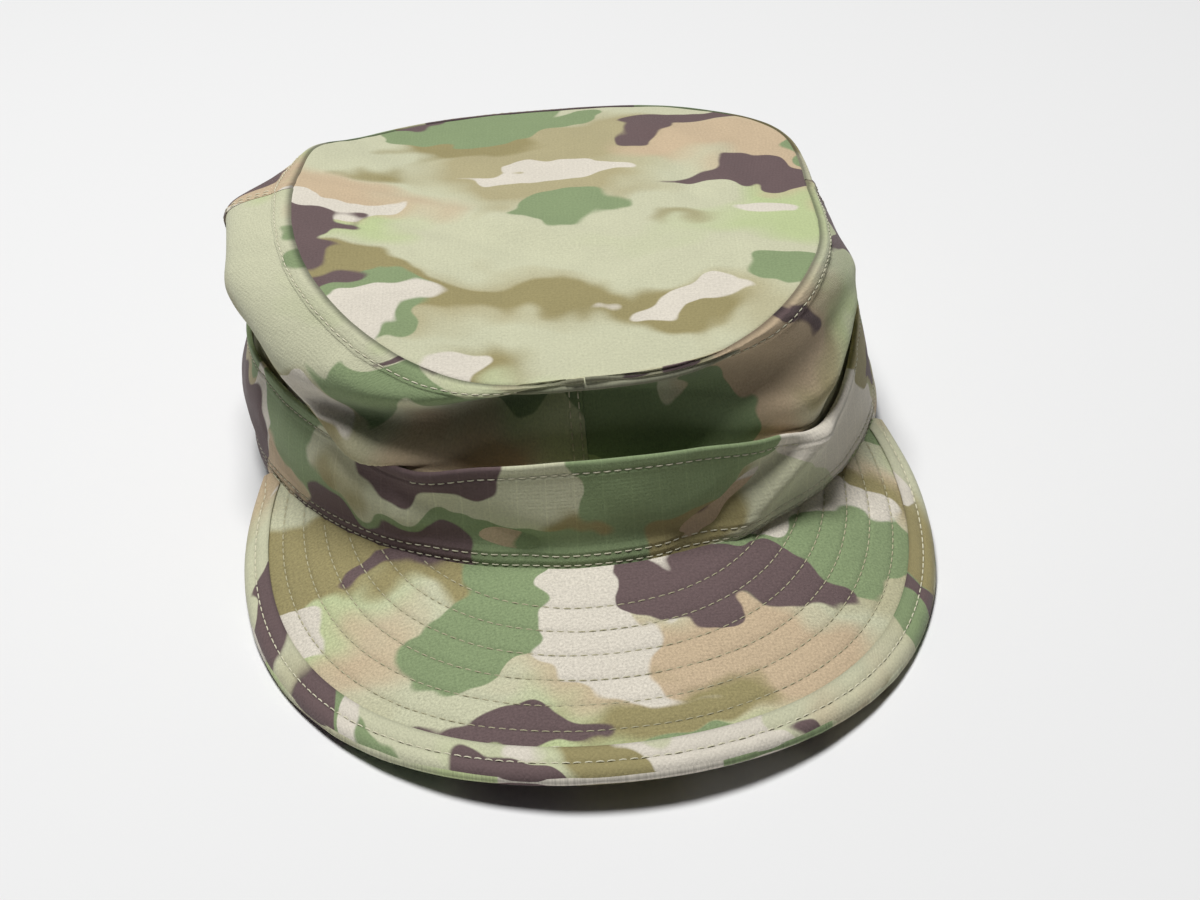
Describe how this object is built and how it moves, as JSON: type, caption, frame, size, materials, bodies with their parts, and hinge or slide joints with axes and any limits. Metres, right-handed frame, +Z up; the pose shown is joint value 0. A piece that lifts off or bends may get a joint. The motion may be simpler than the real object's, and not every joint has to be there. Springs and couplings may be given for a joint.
{
  "type": "patrol cap",
  "caption": "Soft cloth patrol cap with an oval top, slumped crown panels, an outer band and a stiff arched visor with a bound, stitched edge.",
  "frame": {"origin": "middle of the foot of the bounding box, on the surface that the cap rests on", "axes": "+Z up from that surface, -Y towards the visor's tip, +X to the right in a view from the front"},
  "size_m": [0.1746, 0.2644, 0.0749],
  "materials": {
    "top_cloth": null,
    "crown_cloth": null,
    "band_cloth": null,
    "visor_cloth": "matt ripstop cloth over a stiff board, with concentric rows of pale stitching",
    "binding_cloth": "matt cloth strip folded over the edge and stitched down",
    "thread": "pale matt sewing thread"
  },
  "bodies": {
    "root": {"top_panel": "top_cloth", "crown_front_left": "crown_cloth", "crown_front_right": "crown_cloth", "crown_back": "crown_cloth", "band": "band_cloth", "visor": "visor_cloth", "visor_binding": "binding_cloth"}
  },
  "joints": []
}
